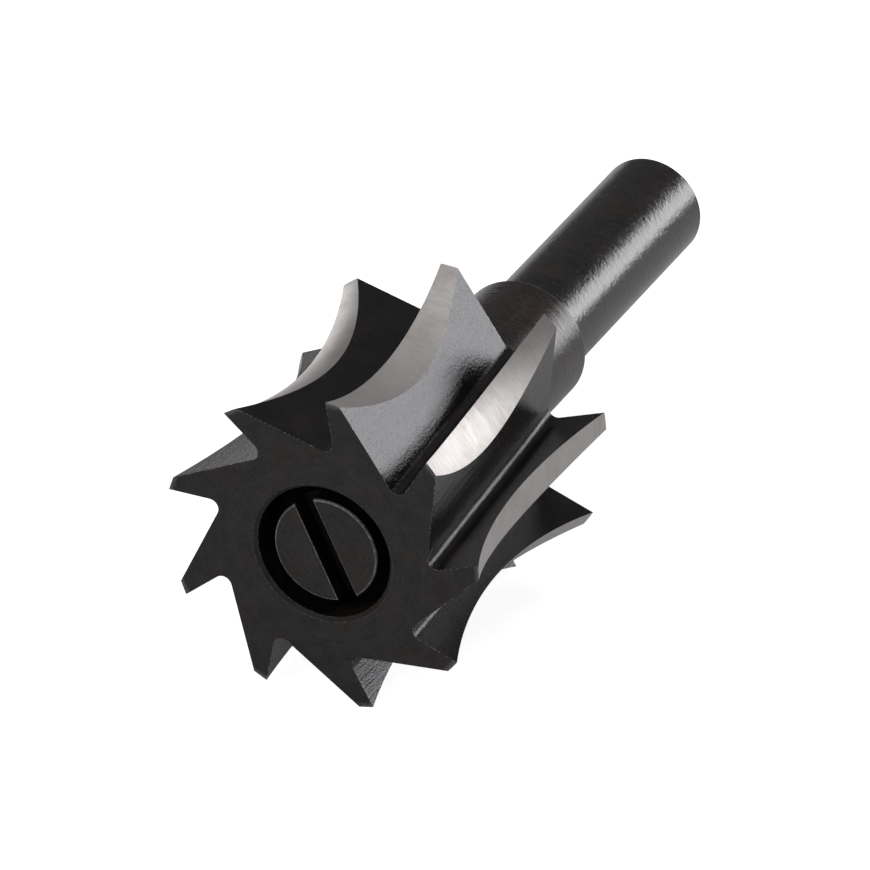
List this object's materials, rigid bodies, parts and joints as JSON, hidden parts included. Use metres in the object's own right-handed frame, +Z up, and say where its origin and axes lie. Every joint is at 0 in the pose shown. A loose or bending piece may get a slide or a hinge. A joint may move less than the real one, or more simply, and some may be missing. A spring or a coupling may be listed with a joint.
{
  "type": "radius router bit",
  "caption": "Concave radius router bit: a fluted steel cutter head ground to a hollow curve, screwed up to the collar of a plain round shank.",
  "frame": {"origin": "under the middle of the bit's box, on the surface that it lies on", "axes": "+Z up, +Y along the bit from its front face to the end of the shank"},
  "size_m": [0.0388, 0.0928, 0.0383],
  "materials": {
    "cutter_head": "black oxide tool steel, with the lands ground bright",
    "arbor": "blackened turned steel, polished on the shank"
  },
  "bodies": {
    "root": {"cutter_head": "cutter_head", "arbor": "arbor"}
  },
  "joints": []
}
